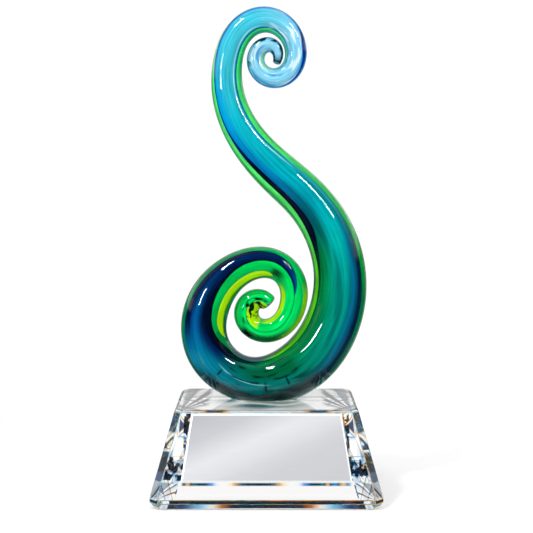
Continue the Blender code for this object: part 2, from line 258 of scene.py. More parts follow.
def stretch(tree, way, rise, full, fade, gone):
    """1 between two ways along, and 0 outside them, with soft ends."""
    return between(tree, way, rise / WAY_SPAN, full / WAY_SPAN, fade / WAY_SPAN, gone / WAY_SPAN)


def mix(tree, factor, a, b, kind="MIX"):
    node = tree.nodes.new("ShaderNodeMix")
    node.data_type = "RGBA"
    node.blend_type = kind
    for socket, value in zip((node.inputs[0], node.inputs[6], node.inputs[7]), (factor, a, b)):
        if isinstance(value, (int, float, tuple)):
            socket.default_value = value
        else:
            tree.links.new(value, socket)
    return node.outputs[2]


def casing():
    """A round skin whose radius shrinks to nothing at both ends by a quarter circle, with
    everything under the ground foot's level lifted to it."""
    cap = np.sin(np.linspace(0, math.pi / 2, CAP_ROWS + 1))[:-1, None]
    start, end = np.zeros(CAP_ROWS), np.full(CAP_ROWS, LENGTH)
    ways = np.concatenate((start, np.linspace(0, LENGTH, CASING_ROWS), end))
    share = np.ones((len(ways), 1))
    share[:CAP_ROWS] = cap
    share[-CAP_ROWS:] = cap[::-1]
    half = LINE[4]
    push = np.zeros((len(ways), 1))
    push[:CAP_ROWS] = -np.cos(np.arcsin(cap)) * half[0] * START_CAP
    push[-CAP_ROWS:] = np.cos(np.arcsin(cap[::-1])) * half[-1] * END_CAP
    angles = np.arange(CASING_SIDES)[None] * (360 / CASING_SIDES)
    points = along_rod(ways, angles, share, push)
    points[..., 2] = np.maximum(points[..., 2], FOOT_LEVEL)
    piece = tube("glass_casing", points)
    attribute(piece, "way", np.repeat(ways / WAY_SPAN, CASING_SIDES))
    return merged(piece)


clear_casing = casing()
material, tree, shader = principled("clear cased glass", Roughness=0.0, IOR=GLASS_IOR,
                                    Transmission_Weight=1.0, Specular_IOR_Level=0.1)
# Seen edge on, the clear glass is painted with colours that stand in for the layers seen bent through its
# rim, and under the big coil the painted rim is wider and dark, as painted shade.
rim = way_ramp(tree, (
    (0.0, (40, 130, 190)), (2.6, (30, 140, 215)), (3.6, (30, 190, 80)), (7.6, (30, 180, 60)),
    (8.8, (10, 130, 50)), (10.4, (0, 50, 50)), (12.0, (0, 60, 70)), (13.2, (0, 100, 50)),
    (17.4, (6, 130, 30))))
grazing = tree.nodes.new("ShaderNodeLayerWeight")
grazing.inputs["Blend"].default_value = 0.5
low_down = stretch(tree, read(tree, "way"), 9.8, 10.6, 11.8, 12.6)
edged = band(tree, scaled(tree, low_down, 0.14, grazing.outputs["Facing"]), 0.56, 0.76)
tree.links.new(mix(tree, edged, linear((252, 254, 254)), rim), shader.inputs["Base Color"])
clear_casing.data.materials.append(material)
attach(clear_casing, "root")
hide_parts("clear_casing")

# Coloured layers. The real ones are bars of coloured glass picked up on the core before the
# clear gather: blue in front, a near-black cobalt line beside it, green round the back, and
# a lime line that shows in the big coil.

BAND_SHARE, CORE_SHARE = 0.634, 0.50
# No line of the layer shows further out from the middle than this share of the half width.
WIDEST_SHOWN = 0.94
BAND_END = 15.42
ROWS_PER_WAY = 48
# Way along the rod, and where the lines green|blue, blue|cobalt and cobalt|green show there
# from the front, in half widths to the left of the way along.
BAND_EDGES = (
    (0.0, 0.90, -0.86, -0.91),
    (0.45, 0.86, -0.88, -0.92),
    (0.65, 0.60, -0.88, -0.92),
    (1.1, 0.64, -0.88, -0.92),
    (1.4, 0.78, -0.88, -0.93),
    (1.7, 0.80, -0.70, -0.90),
    (2.05, 0.78, -0.62, -0.90),
    (2.4, 0.74, -0.86, -0.93),
    (3.0, 0.69, -0.86, -0.93),
    (3.6, 0.69, -0.82, -0.90),
    (4.4, 0.64, -0.72, -0.78),
    (5.0, 0.67, -0.69, -0.76),
    (5.5, 0.68, -0.58, -0.73),
    (6.0, 0.74, -0.47, -0.68),
    (6.6, 0.78, -0.45, -0.67),
    (7.4, 0.80, -0.50, -0.78),
    (7.9, 0.81, -0.68, -0.83),
    (8.6, 0.80, -0.77, -0.83),
    (9.8, 0.80, -0.79, -0.82),
    (11.2, 0.78, -0.81, -0.85),
    (11.8, 0.80, -0.66, -0.84),
    (12.2, 0.84, -0.50, -0.80),
    (12.8, 0.82, -0.12, -0.42),
    (13.2, 0.81, 0.00, -0.24),
    (13.7, 0.81, 0.10, -0.06),
    (14.2, 0.80, 0.24, 0.13),
    (14.7, 0.73, 0.26, 0.16),
    (15.0, 0.57, 0.16, 0.06),
    (15.25, 0.28, 0.06, 0.0),
    (BAND_END, 0.02, 0.0, -0.02),
)


def round_from_front(shown):
    """The angle at which a line of the layer lies, for it to show at this share of the half
    width: the angle at which the eye's ray meets the layer, plus what the casing bends it."""
    shown = np.clip(shown, -WIDEST_SHOWN, WIDEST_SHOWN)
    return np.degrees(np.arcsin(shown / (GLASS_IOR * BAND_SHARE)) + np.arcsin(shown)
                      - np.arcsin(shown / GLASS_IOR))


def edge(column, table=BAND_EDGES):
    return lambda ways: round_from_front(eased(table, ways)[:, column])


def band_skin(name, start, end, low_edge, high_edge, shares=(BAND_SHARE, CORE_SHARE), steps=24):
    """A band of the coloured layer, carried along the rod: its section walks evenly round the
    outer share of the radius, from the low line's angle to the high line's, and back round the
    inner share."""
    rows = int((end - start) * ROWS_PER_WAY) + 2
    ways = np.linspace(start, end, rows)
    low, high = low_edge(ways), high_edge(ways)
    inside = steps // 6 + 1
    across = np.concatenate((np.linspace(0, 1, steps + 1), np.linspace(1, 0, inside + 1)))
    radii = np.repeat(shares, (steps + 1, inside + 1))
    angles = low[:, None] + (high - low)[:, None] * across
    piece = tube(name, along_rod(ways, angles, np.broadcast_to(radii, angles.shape)))
    attribute(piece, "way", np.repeat(ways / WAY_SPAN, len(across)))
    attribute(piece, "across", np.tile(across, rows))
    attribute(piece, "turn", angles / 360.0)
    attribute(piece, "side", np.sin(np.radians(angles)))
    return piece


def larger(tree, *values):
    """The largest of these."""
    largest = values[0]
    for value in values[1:]:
        largest = math_node(tree, "MAXIMUM", largest, value)
    return largest


def unsigned(tree, value):
    """The value without its sign."""
    return math_node(tree, "ABSOLUTE", value)


def painted(tree, colour, mask, paint):
    """The colour with this paint laid over it where the mask is 1."""
    return mix(tree, mask, colour, linear(paint))


def dimmed(tree, colour, pattern, mask=1.0):
    """The colour times the pattern where the mask is 1."""
    return mix(tree, mask, colour, pattern, "MULTIPLY")


def streaks(tree, along, round_about, detail=3.0, seed=0.0):
    """Noise drawn out along the rod, about 0.5 in the mean."""
    join = tree.nodes.new("ShaderNodeCombineXYZ")
    tree.links.new(times(tree, read(tree, "way"), along), join.inputs[0])
    tree.links.new(times(tree, read(tree, "turn"), round_about), join.inputs[1])
    join.inputs[2].default_value = seed
    node = tree.nodes.new("ShaderNodeTexNoise")
    node.inputs["Scale"].default_value = 1.0
    node.inputs["Detail"].default_value = detail
    node.inputs["Distortion"].default_value = 0.25
    tree.links.new(join.outputs[0], node.inputs["Vector"])
    return node.outputs["Fac"]


def object_noise(tree, scale, detail=2.0, drawn=None):
    """Noise by place on the piece, about 0.5 in the mean. Drawn gives a scale for each axis."""
    place = tree.nodes.new("ShaderNodeTexCoord").outputs["Object"]
    if drawn:
        mapping = tree.nodes.new("ShaderNodeMapping")
        mapping.inputs["Scale"].default_value = drawn
        tree.links.new(place, mapping.inputs["Vector"])
        place = mapping.outputs["Vector"]
    node = tree.nodes.new("ShaderNodeTexNoise")
    node.inputs["Scale"].default_value = scale
    node.inputs["Detail"].default_value = detail
    tree.links.new(place, node.inputs["Vector"])
    return node.outputs["Fac"]


def recoat(node, material):
    """Give a piece that is carried over from the CAD this material instead of its own."""
    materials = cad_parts[node].data.materials
    materials.clear()
    materials.append(material)


ICE, SKY, TEAL, SEA = (142, 222, 250), (84, 198, 244), (0, 172, 166), (0, 150, 130)
PETROL, OCEAN, NAVY, INK = (0, 132, 160), (0, 92, 158), (0, 34, 92), (0, 8, 36)

# The layers have no gloss of their own, because they lie inside the clear glass.
LAYER = {"Roughness": 0.3, "Specular_IOR_Level": 0.0}

blue_veil = band_skin("blue_layer", 0.0, BAND_END, edge(1), edge(0), steps=32)
material, tree, shader = principled("blue layer", **LAYER)
way, across, side = (read(tree, name) for name in ("way", "across", "side"))
upper = way_ramp(tree, (
    (0.0, INK), (0.12, (152, 220, 246)), (1.2, (140, 212, 240)), (2.3, (132, 208, 234)),
    (3.0, (70, 192, 214)), (4.0, (62, 188, 208)), (5.0, (14, 176, 194)), (6.2, (0, 172, 186)),
    (7.0, (0, 164, 178)), (7.8, TEAL), (9.0, (0, 146, 128)), (10.4, (0, 124, 100)),
    (11.4, (0, 122, 128)), (12.2, PETROL), (12.8, OCEAN), (13.5, (0, 56, 112)), (14.0, NAVY),
    (14.9, (0, 34, 84)), (15.4, OCEAN)))
lower = way_ramp(tree, (
    (0.0, INK), (0.2, SKY), (1.2, SKY), (2.2, (40, 160, 246)), (3.6, (0, 150, 226)),
    (4.4, (0, 160, 220)), (5.4, (0, 128, 196)), (6.4, (0, 112, 170)), (7.3, (0, 84, 100)),
    (8.0, (0, 124, 60)), (9.4, (0, 136, 64)), (10.8, (0, 136, 60)), (11.5, (0, 120, 96)),
    (12.2, NAVY), (13.0, INK), (15.3, NAVY)))
narrow = times(tree, band(tree, across, 0.03, 0.20), stretch(tree, way, -0.2, -0.1, 3.8, 5.0))
colour = mix(tree, larger(tree, band(tree, across, 0.06, 0.50), narrow), lower, upper)
# Bars of deeper blue: where across the layer, where along the rod, and the colour.
for near, far, along, paint in (
        (0.90, 0.97, (1.3, 1.7, 5.6, 6.6), (0, 70, 170)),
        (0.56, 0.76, (6.8, 8.2, 9.6, 11.2), (0, 104, 142)),
        (0.74, 0.90, (7.4, 8.2, 10.2, 11.2), (0, 26, 60)),
        (0.42, 0.72, (12.3, 12.9, 14.2, 14.8), (0, 16, 60))):
    bar = times(tree, band(tree, across, near, far), stretch(tree, way, *along))
    colour = painted(tree, colour, bar, paint)
# A painted highlight: a pale line down the neck beside the green edge, where a long thin highlight runs.
painted_highlight_line = times(tree, between(tree, across, 0.815, 0.845, 0.855, 0.885),
               stretch(tree, way, 2.7, 3.4, 5.8, 6.5), 0.7)
colour = painted(tree, colour, painted_highlight_line, (206, 244, 250))
# White wisps in the upper curl, an even grain, and teal strands low in the neck.
wisps = times(tree, band(tree, streaks(tree, 44.0, 13.0, detail=5.0, seed=6.0), 0.52, 0.62),
              stretch(tree, way, 0.3, 0.8, 2.3, 3.0))
colour = painted(tree, colour, wisps, (226, 244, 250))
colour = dimmed(tree, colour, scaled(tree, streaks(tree, 20.0, 34.0), 1.4, 0.3))
strands = times(tree, band(tree, streaks(tree, 9.0, 16.0, detail=2.0, seed=21.0), 0.50, 0.64),
                stretch(tree, way, 5.4, 7.4, 10.4, 12.0), 0.55)
colour = painted(tree, colour, strands, (0, 84, 84))
# Short dark lines low in the big coil, painted where the base's edges show bent through the glass: way
# along, and how high up the side they reach.
for spot, high in ((10.64, 0.42), (11.04, 0.52), (11.9, 0.40)):
    refracted_base_line = times(tree, stretch(tree, way, spot - 0.03, spot - 0.01, spot + 0.01, spot + 0.03),
                  between(tree, side, -0.2, 0.1, high - 0.1, high))
    colour = painted(tree, colour, refracted_base_line, (0, 52, 60))
# The thin tip has a dark outline, dark specks on its outer side, and deeper blue blots.
outline = times(tree, band(tree, unsigned(tree, side), 0.62, 0.9),
                stretch(tree, way, -0.2, -0.1, 0.22, 0.36))
specks = times(tree, band(tree, side, -0.5, -0.8), stretch(tree, way, 0.1, 0.2, 0.75, 0.95),
               band(tree, streaks(tree, 190.0, 3.0, seed=17.0), 0.54, 0.58))
colour = painted(tree, colour, larger(tree, outline, specks), (0, 36, 66))
blots = times(tree, stretch(tree, way, 0.0, 0.3, 1.9, 2.4), 0.7,
              band(tree, streaks(tree, 40.0, 8.0, detail=4.0, seed=31.0), 0.56, 0.66))
colour = painted(tree, colour, blots, (20, 130, 210))
# Low in the big coil: a green pool, one soft pale streak that is a painted highlight, dark patches
# underneath that are painted shade, and dark strokes painted where the base shows bent through the glass.
pool = times(tree, stretch(tree, way, 10.1, 10.5, 11.2, 11.9),
             between(tree, side, -0.9, -0.6, -0.25, 0.0), 0.75)
colour = painted(tree, colour, pool, (0, 92, 44))
aslant = unsigned(tree, scaled(tree, way, 5.4, math_node(tree, "ADD", side, -3.42)))
painted_highlight_streak = times(tree, stretch(tree, way, 10.9, 11.2, 11.8, 12.1), band(tree, aslant, 0.07, 0.0), 0.6)
colour = painted(tree, colour, painted_highlight_streak, (150, 226, 240))
painted_shade_patches = times(tree, band(tree, side, 0.45, 0.75), stretch(tree, way, 9.9, 10.3, 11.9, 12.3),
                band(tree, streaks(tree, 24.0, 12.0, detail=4.0, seed=41.0), 0.42, 0.50), 0.9)
colour = painted(tree, colour, painted_shade_patches, (0, 30, 44))
refracted_base_marks = times(tree, band(tree, streaks(tree, 34.0, 26.0, detail=5.0, seed=9.0), 0.53, 0.64),
                stretch(tree, way, 10.0, 10.6, 11.5, 12.2))
colour = painted(tree, colour, refracted_base_marks, (0, 44, 40))
tree.links.new(colour, shader.inputs["Base Color"])
blue_veil.data.materials.append(material)

cobalt = band_skin("cobalt_line", 0.0, BAND_END, edge(2), edge(1), steps=8)
material, tree, shader = principled("cobalt line", **LAYER)
colour = way_ramp(tree, (
    (0.0, INK), (0.3, (20, 90, 190)), (1.5, (10, 84, 190)), (1.75, (16, 60, 150)), (2.25, (0, 30, 90)),
    (2.6, (0, 80, 190)), (3.4, (0, 50, 150)), (5.0, (0, 50, 150)), (5.8, INK), (7.6, INK),
    (8.4, (0, 50, 36)), (10.8, (0, 60, 44)), (11.8, INK), (14.6, INK), (15.4, NAVY)))
tree.links.new(colour, shader.inputs["Base Color"])
cobalt.data.materials.append(material)

green_veil = band_skin("green_layer", 0.0, LENGTH, edge(0), lambda ways: edge(2)(ways) + 360, steps=60)
material, tree, shader = principled("green layer", **LAYER)
way, across, side = (read(tree, name) for name in ("way", "across", "side"))
left = way_ramp(tree, (
    (0.0, ICE), (0.4, SKY), (0.6, (130, 226, 130)), (1.1, (150, 230, 150)), (1.4, SKY),
    (1.7, (110, 240, 150)), (3.2, (60, 236, 110)), (5.0, (70, 240, 110)), (6.4, (40, 220, 100)),
    (7.2, (0, 180, 70)), (8.0, (0, 190, 50)), (8.8, (0, 120, 60)), (9.6, (10, 110, 80)),
    (12.2, (10, 104, 96)), (12.7, (0, 132, 70)), (14.0, (0, 150, 80)), (15.4, (0, 226, 104))))
right = way_ramp(tree, (
    (0.0, SKY), (3.0, (40, 130, 220)), (3.7, (110, 230, 140)), (4.6, (90, 240, 120)),
    (7.4, (96, 240, 110)), (8.2, (110, 226, 30)), (10.6, (110, 226, 40)), (11.1, (70, 110, 124)),
    (11.9, (70, 110, 124)), (12.3, (0, 170, 70)), (13.4, (0, 186, 80)), (14.8, (0, 214, 90)),
    (15.6, (0, 230, 104))))
behind = way_ramp(tree, (
    (0.0, ICE), (1.2, SKY), (2.4, (40, 196, 170)), (3.6, (0, 190, 96)), (6.4, (0, 172, 76)),
    (8.4, (0, 140, 66)), (10.4, (0, 116, 84)), (12.0, (0, 124, 110)), (13.2, (0, 150, 90)),
    (15.2, (0, 206, 96))))
colour = mix(tree, band(tree, across, 0.07, 0.20), left, behind)
colour = mix(tree, band(tree, across, 0.82, 0.93), colour, right)
# Near the inner tip both edges turn lime, and two patches are darker.
inner_edge = times(tree, band(tree, side, 0.80, 0.94), stretch(tree, way, 15.2, 15.5, 16.1, 16.4))
outer_edge = times(tree, band(tree, side, -0.80, -0.94), stretch(tree, way, 15.0, 15.4, 16.2, 16.6))
colour = painted(tree, colour, larger(tree, inner_edge, outer_edge), (190, 246, 0))
shade = times(tree, band(tree, side, 0.35, 0.7), stretch(tree, way, 15.9, 16.25, 16.45, 16.8))
colour = painted(tree, colour, shade, (0, 110, 50))
shade = times(tree, stretch(tree, way, 14.62, 14.78, 14.84, 15.1),
              between(tree, side, -0.95, -0.8, -0.4, -0.1))
colour = painted(tree, colour, shade, (0, 84, 36))
colour = dimmed(tree, colour, scaled(tree, streaks(tree, 26.0, 14.0, seed=3.0), 1.2, 0.4))
# The sheared inner tip: lime lobes with dark cracks between them.
lumps = scaled(tree, streaks(tree, 46.0, 5.0, detail=2.0, seed=12.0), 1.6, -0.8)
wobble = math_node(tree, "ADD", side, lumps)
lobes = times(tree, band(tree, wobble, -0.1, -0.25), stretch(tree, way, 16.50, 16.58, 17.5, 17.6))
colour = painted(tree, colour, lobes, (184, 238, 0))
cracks = times(tree, band(tree, streaks(tree, 90.0, 9.0, detail=2.0, seed=15.0), 0.50, 0.55),
               stretch(tree, way, 16.65, 16.85, 17.5, 17.6), band(tree, wobble, 0.5, 0.3))
cleft = times(tree, band(tree, side, 0.4, 0.8), stretch(tree, way, 16.48, 16.58, 16.64, 16.74))
colour = painted(tree, colour, larger(tree, cracks, cleft), (0, 30, 12))
tree.links.new(colour, shader.inputs["Base Color"])
green_veil.data.materials.append(material)

# Way along, and where the lime line's far and near edges show.
LIME_START, LIME_END = 12.45, 14.77
LIME_EDGES = (
    (LIME_START, -0.91, -0.89),
    (12.8, -0.90, -0.64),
    (13.2, -0.86, -0.54),
    (14.2, -0.90, -0.46),
    (14.55, -0.88, -0.50),
    (14.72, -0.80, -0.62),
    (LIME_END, -0.71, -0.70),
)
# The lime line stands a hair proud of the layer that it lies in.
LIME_SHARES = (BAND_SHARE + 0.006, 0.58)
lime = band_skin("lime_line", LIME_START, LIME_END, edge(0, LIME_EDGES), edge(1, LIME_EDGES),
                 shares=LIME_SHARES, steps=12)
material, tree, shader = principled("lime line", **LAYER)
across = read(tree, "across")
colour = mix(tree, band(tree, across, 0.12, 0.42), linear((80, 150, 0)), linear((200, 255, 0)))
colour = mix(tree, band(tree, across, 0.0, 0.14), linear((0, 40, 14)), colour)
colour = dimmed(tree, colour, scaled(tree, streaks(tree, 22.0, 30.0, seed=4.0), 0.9, 0.55))
tree.links.new(colour, shader.inputs["Base Color"])
lime.data.materials.append(material)

for piece, node, slot in ((blue_veil, "blue_veil", "blue_glass"), (cobalt, "cobalt_streak", "cobalt_glass"),
                          (green_veil, "green_veil", "green_glass"), (lime, "lime_streak", "lime_glass")):
    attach(piece, "root")
    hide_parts(node)

material, tree, shader = principled("teal core", Roughness=0.3)
tree.links.new(mix(tree, object_noise(tree, 140), linear(SEA), linear(TEAL)), shader.inputs["Base Color"])
recoat("glass_core", material)

# Crystal base. The real one is a block of clear optical crystal, sawn, ground and polished
# flat on every face, with its corners cut and a narrow polished arris along each edge.

BASE_WIDTH, BASE_DEPTH, BASE_HEIGHT = 0.142, 0.096, 0.058
TOP_WIDTH, TOP_DEPTH = 0.113, 0.067
FOOT_HEIGHT = 0.0064
UNDER_RISE, UNDER_INSET = 0.004, 0.003
TOP_BEVEL, CORNER_CUT = 0.0014, 0.0045
# How much narrower a cut corner gets on a bevel, as a share of the bevel's width.
CUT_NARROWING = 0.4
ARRIS = 0.0003
CRYSTAL_IOR = 1.52
# In millimetres: half the width, the cut corner's place with both of its distances from the
# middle added up, and how far a side and an end face together come in per metre of height.
HALF_WIDTH = BASE_WIDTH * 500
CORNER_OUT = (BASE_WIDTH + BASE_DEPTH - 2 * CORNER_CUT) * 500
COME_IN = (BASE_DEPTH - TOP_DEPTH) / (BASE_HEIGHT - FOOT_HEIGHT) * 1000
# The whole way in, for a mark that only its height bounds, and the reach of the sideways ramps.
ANYWHERE = (-5.0, 40.0)
REACH = 60.0
WHITE = (255, 255, 255)


def block_outline(height):
    """Half width and half depth of the block at this height: upright up to the top of the
    foot, then straight lines in to the top face."""
    rise = max(0.0, (height - FOOT_HEIGHT) / (BASE_HEIGHT - FOOT_HEIGHT))
    return ((BASE_WIDTH + (TOP_WIDTH - BASE_WIDTH) * rise) / 2,
            (BASE_DEPTH + (TOP_DEPTH - BASE_DEPTH) * rise) / 2)


def crystal_block():
    """Five eight-cornered outlines one above the other, joined by flat faces, and a narrow
    facet along every edge."""
    levels = ((0.0, UNDER_INSET), (UNDER_RISE, 0.0), (FOOT_HEIGHT, 0.0), (BASE_HEIGHT - TOP_BEVEL, 0.0),
              (BASE_HEIGHT, TOP_BEVEL))
    shape = bmesh.new()
    rings = []
    for height, inset in levels:
        x, y = np.subtract(block_outline(height), inset)
        cut = CORNER_CUT - inset * CUT_NARROWING
        corners = [(x, y - cut), (x - cut, y)]
        around = [(-u, v) for u, v in corners[::-1]]
        corners += around
        corners += [(-u, -v) for u, v in corners]
        rings.append([shape.verts.new((u, v, height)) for u, v in corners])
    for lower, upper in zip(rings, rings[1:]):
        for i in range(8):
            j = (i + 1) % 8
            shape.faces.new((lower[i], lower[j], upper[j], upper[i]))
    shape.faces.new(rings[0][::-1])
    shape.faces.new(rings[-1])
    bmesh.ops.dissolve_limit(shape, angle_limit=0.001, verts=shape.verts[:], edges=shape.edges[:])
    bmesh.ops.bevel(shape, geom=shape.edges[:], offset=ARRIS, segments=1, profile=0.5, affect="EDGES",
                    clamp_overlap=True, material=1)
    bmesh.ops.recalc_face_normals(shape, faces=shape.faces[:])
    mesh = bpy.data.meshes.new("crystal_block")
    shape.to_mesh(mesh)
    shape.free()
    return placed("crystal_block", mesh)


crystal = crystal_block()
# The block's colour is painted reflections and refractions: the dark patches, coloured fringes and mirrored
# facets that its cuts would show, fixed on its faces.
material, tree, shader = principled("optical crystal", Roughness=0.0, IOR=CRYSTAL_IOR,
                                    Transmission_Weight=1.0)
split = tree.nodes.new("ShaderNodeSeparateXYZ")
tree.links.new(tree.nodes.new("ShaderNodeTexCoord").outputs["Object"], split.inputs[0])
to_right, to_back, level = split.outputs
sideways, depthways = unsigned(tree, to_right), unsigned(tree, to_back)
coarse, fine = object_noise(tree, 90, detail=1.0), object_noise(tree, 260)
# In millimetres: the height, how far a side and an end face together have come in at it, and
# the way in from the cut corner along either face. The height wavers a little.
height = math_node(tree, "ADD", times(tree, level, 1000.0), scaled(tree, coarse, 3.0, -1.5))
slope = larger(tree, scaled(tree, level, COME_IN, -COME_IN * FOOT_HEIGHT), 0.0)
out = math_node(tree, "ADD", sideways, depthways)
inward = math_node(tree, "SUBTRACT", scaled(tree, out, -1000.0, CORNER_OUT), slope)


def patch(low, high, near, far, soft=1.2):
    """1 in a soft-edged block of height and way in."""
    ease = soft / 2
    return times(tree, between(tree, height, low - ease, low + ease, high - ease, high + ease),
                 between(tree, inward, near - ease, near + ease, far - ease, far + ease))


def wedge(point, foot, middle, half):
    """1 in a wedge from a point at one height to this half width at the other."""
    away = unsigned(tree, math_node(tree, "ADD", inward, -middle))
    gain = half / (foot - point)
    reach = scaled(tree, height, gain, -point * gain)
    body = band(tree, math_node(tree, "SUBTRACT", reach, away), -0.3, 0.5)
    return times(tree, body, patch(min(point, foot), max(point, foot), *ANYWHERE))


def without(mask, *cuts):
    """The mask with these cut out of it."""
    for cut in cuts:
        mask = times(tree, mask, math_node(tree, "SUBTRACT", 1.0, cut))
    return mask


def reach_ramp(distance, stops):
    """Colours by a distance in metres, from pairs of millimetres and colour."""
    return ramp(tree, math_node(tree, "DIVIDE", distance, REACH / 1000), stops, REACH)


# Painted refractions: dark and pale patches in the front corners. A dark sliver beside the plate narrows
# downwards.
front = band(tree, to_back, 0.012, -0.004)
fallen = scaled(tree, height, -1.0, 55.0)
sliver = times(tree, band(tree, scaled(tree, fallen, -0.27, inward), 1.9, 2.9),
               band(tree, scaled(tree, fallen, -0.10, inward), 6.9, 6.1), patch(36.0, 57.0, *ANYWHERE))
dark_refraction = without(patch(18.0, 31.0, 0.6, 11.4), wedge(25.0, 32.0, 5.2, 2.6), wedge(22.0, 17.0, 6.4, 2.2))
dark_refraction = larger(tree, dark_refraction, sliver, wedge(43.0, 35.0, -0.4, 0.8), patch(7.5, 15.5, 10.4, 11.0, 0.8))
dark_refraction = times(tree, dark_refraction, band(tree, fine, 0.66, 0.40), front)
pale_refraction = times(tree, larger(tree, wedge(40.0, 31.5, 2.0, 2.6), patch(7.0, 14.0, 4.4, 7.4)), front, 0.6)
warm = ramp(tree, dark_refraction, (
    (0.0, WHITE), (0.2, (255, 226, 170)), (0.38, (206, 132, 50)), (0.56, (20, 24, 34)), (0.8, (2, 4, 8))))
cold = ramp(tree, dark_refraction, (
    (0.0, WHITE), (0.2, (190, 226, 250)), (0.38, (40, 120, 190)), (0.56, (10, 26, 50)), (0.8, (1, 3, 8))))
painted_reflections = mix(tree, band(tree, coarse, 0.44, 0.54), warm, cold)
painted_reflections = dimmed(tree, painted_reflections, linear((190, 196, 202)), pale_refraction)
# A painted refraction: the bright and dark line under the plate, broken into colours along its length.
wander = tree.nodes.new("ShaderNodeTexNoise")
wander.noise_dimensions = "1D"
wander.inputs["Scale"].default_value = 40
tree.links.new(to_right, wander.inputs["W"])
wandered = unsigned(tree, math_node(tree, "ADD", to_right, 0.005))
wandered = math_node(tree, "ADD", wandered, scaled(tree, wander.outputs["Fac"], 0.006, -0.003))
split_light = reach_ramp(wandered, (
    (0.0, (0, 4, 14)), (8.0, (0, 14, 34)), (11.0, (30, 54, 58)), (14.0, (200, 120, 24)),
    (16.5, (252, 226, 150)), (20.0, WHITE), (25.0, (232, 244, 252)), (27.5, (20, 110, 226)),
    (31.0, (0, 16, 60)), (37.0, (0, 6, 24)), (39.0, (0, 60, 76)), (41.0, (4, 8, 20)),
    (43.0, (190, 130, 60)), (44.5, (0, 10, 30)), (47.0, (0, 90, 170)), (49.0, (4, 10, 24)),
    (52.0, (200, 160, 80)), (54.0, (0, 60, 120)), (57.0, (110, 200, 240))))
plate_line = times(tree, between(tree, level, 0.0142, 0.0150, 0.0160, 0.0170),
                   band(tree, sideways, 0.0520, 0.0505), band(tree, to_back, -0.040, -0.042))
painted_reflections = mix(tree, plate_line, painted_reflections, split_light)
# Painted reflections of slim facets in the corners and the side faces, with a painted coloured fringe on
# their borders. On the cut corner they lie aslant.
across_cut = math_node(tree, "SUBTRACT", sideways, depthways)
across_cut = band(tree, across_cut, 0.0185, 0.0275, smooth=False)
wider = math_node(tree, "POWER", larger(tree, inward, 0.0), 0.7)
cell = tree.nodes.new("ShaderNodeCombineXYZ")
tree.links.new(times(tree, wider, 0.5), cell.inputs[0])
tree.links.new(scaled(tree, across_cut, 0.5, scaled(tree, height, 0.085, 0.35)), cell.inputs[1])
cell.inputs[2].default_value = 0.3
tones = tree.nodes.new("ShaderNodeTexVoronoi")
borders = tree.nodes.new("ShaderNodeTexVoronoi")
borders.feature = "DISTANCE_TO_EDGE"
for node in (tones, borders):
    node.inputs["Scale"].default_value = 1.0
    tree.links.new(cell.outputs[0], node.inputs["Vector"])
pick = tree.nodes.new("ShaderNodeSeparateXYZ")
tree.links.new(tones.outputs["Color"], pick.inputs[0])
facet_reflections = ramp(tree, pick.outputs["X"], (
    (0.0, WHITE), (0.45, WHITE), (0.50, (196, 208, 216)), (0.66, (170, 184, 196)),
    (0.70, (90, 110, 130)), (0.80, (70, 88, 108)), (0.84, (16, 28, 56)), (1.0, (10, 18, 40))))
dispersion_fringe = ramp(tree, pick.outputs["Y"], (
    (0.0, (30, 70, 120)), (0.3, (140, 190, 226)), (0.5, (250, 250, 250)), (0.7, (226, 168, 90)),
    (1.0, (90, 64, 40))))
facet_reflections = mix(tree, band(tree, borders.outputs["Distance"], 0.10, 0.03), facet_reflections, dispersion_fringe)
# Low down they run out from the foot of the corner like a fan.
fan = math_node(tree, "ARCTAN2", math_node(tree, "ADD", height, -6.4), math_node(tree, "ADD", inward, 1.2))
fan = ramp(tree, fan, (
    (0.30, WHITE), (0.33, (20, 50, 90)), (0.37, (4, 8, 16)), (0.41, (200, 120, 40)), (0.44, WHITE),
    (0.60, (226, 232, 236)), (0.70, (190, 200, 210)), (0.71, (4, 8, 16)), (0.76, (20, 70, 120)),
    (0.79, WHITE), (0.90, (255, 240, 220)), (0.93, (30, 40, 56)), (1.0, (110, 126, 140))))
facet_reflections = mix(tree, band(tree, height, 16.6, 16.0), facet_reflections, fan)
on_side = scaled(tree, sideways, 1000.0, times(tree, slope, 0.5))
on_side = band(tree, on_side, HALF_WIDTH - 0.8, HALF_WIDTH - 0.4)
on_top = band(tree, level, 0.0575, 0.0578)
facet_reflection_mask = larger(tree, times(tree, band(tree, inward, 11.0, 10.0), front),
                 times(tree, on_side, scaled(tree, band(tree, inward, 16.0, 6.0), 0.6, 0.25)))
facet_reflection_mask = times(tree, facet_reflection_mask, between(tree, level, 0.0064, 0.0070, 0.0568, 0.0572))
facet_reflection_mask = larger(tree, facet_reflection_mask, times(tree, on_top, band(tree, sideways, 0.037, 0.040)))
painted_reflections = dimmed(tree, painted_reflections, facet_reflections, facet_reflection_mask)
